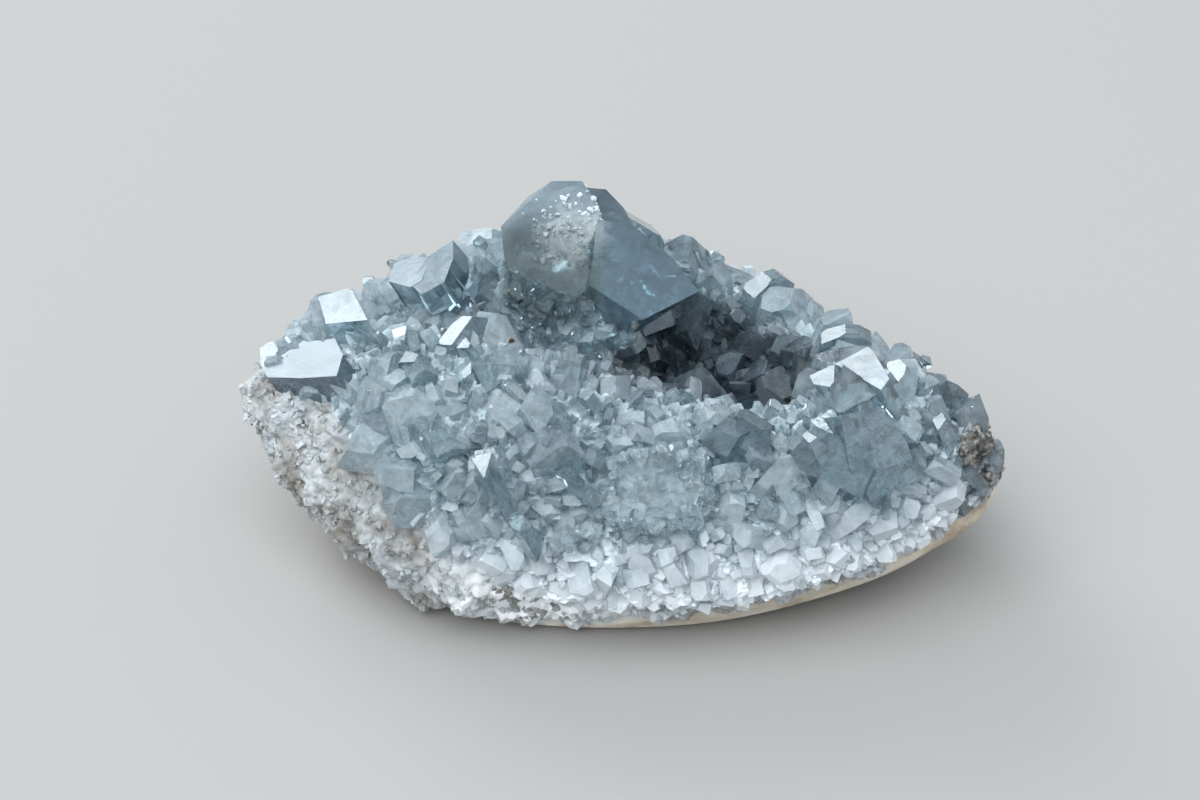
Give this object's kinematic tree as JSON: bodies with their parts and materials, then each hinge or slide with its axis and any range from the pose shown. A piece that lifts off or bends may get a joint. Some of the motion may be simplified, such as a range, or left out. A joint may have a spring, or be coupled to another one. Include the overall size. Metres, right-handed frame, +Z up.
{
  "type": "celestite cluster",
  "caption": "Palm-sized natural mineral specimen: a broken bowl of pale matrix rock lined with a crust of pale blue celestite crystals round an open hollow, resting on a flat ground spot.",
  "frame": {"origin": "centre of the flat ground spot underneath, on the surface it rests on", "axes": "+X along the specimen's longest extent, towards the end with the dark host rock; +Y away from the viewer, towards the back wall of the hollow; +Z up"},
  "size_m": [0.1261, 0.0899, 0.061],
  "materials": {
    "matrix_rock": "rough, granular broken pale grey-white rock with brown-grey stains; smooth ground cream rind underneath; darker brown-grey host rock at the right end",
    "celestite": "pale grey-blue translucent crystal, glassy faces, milky roots, IOR about 1.62"
  },
  "bodies": {
    "root": {"matrix": "matrix_rock", "crystal_crust": "celestite"}
  },
  "joints": []
}
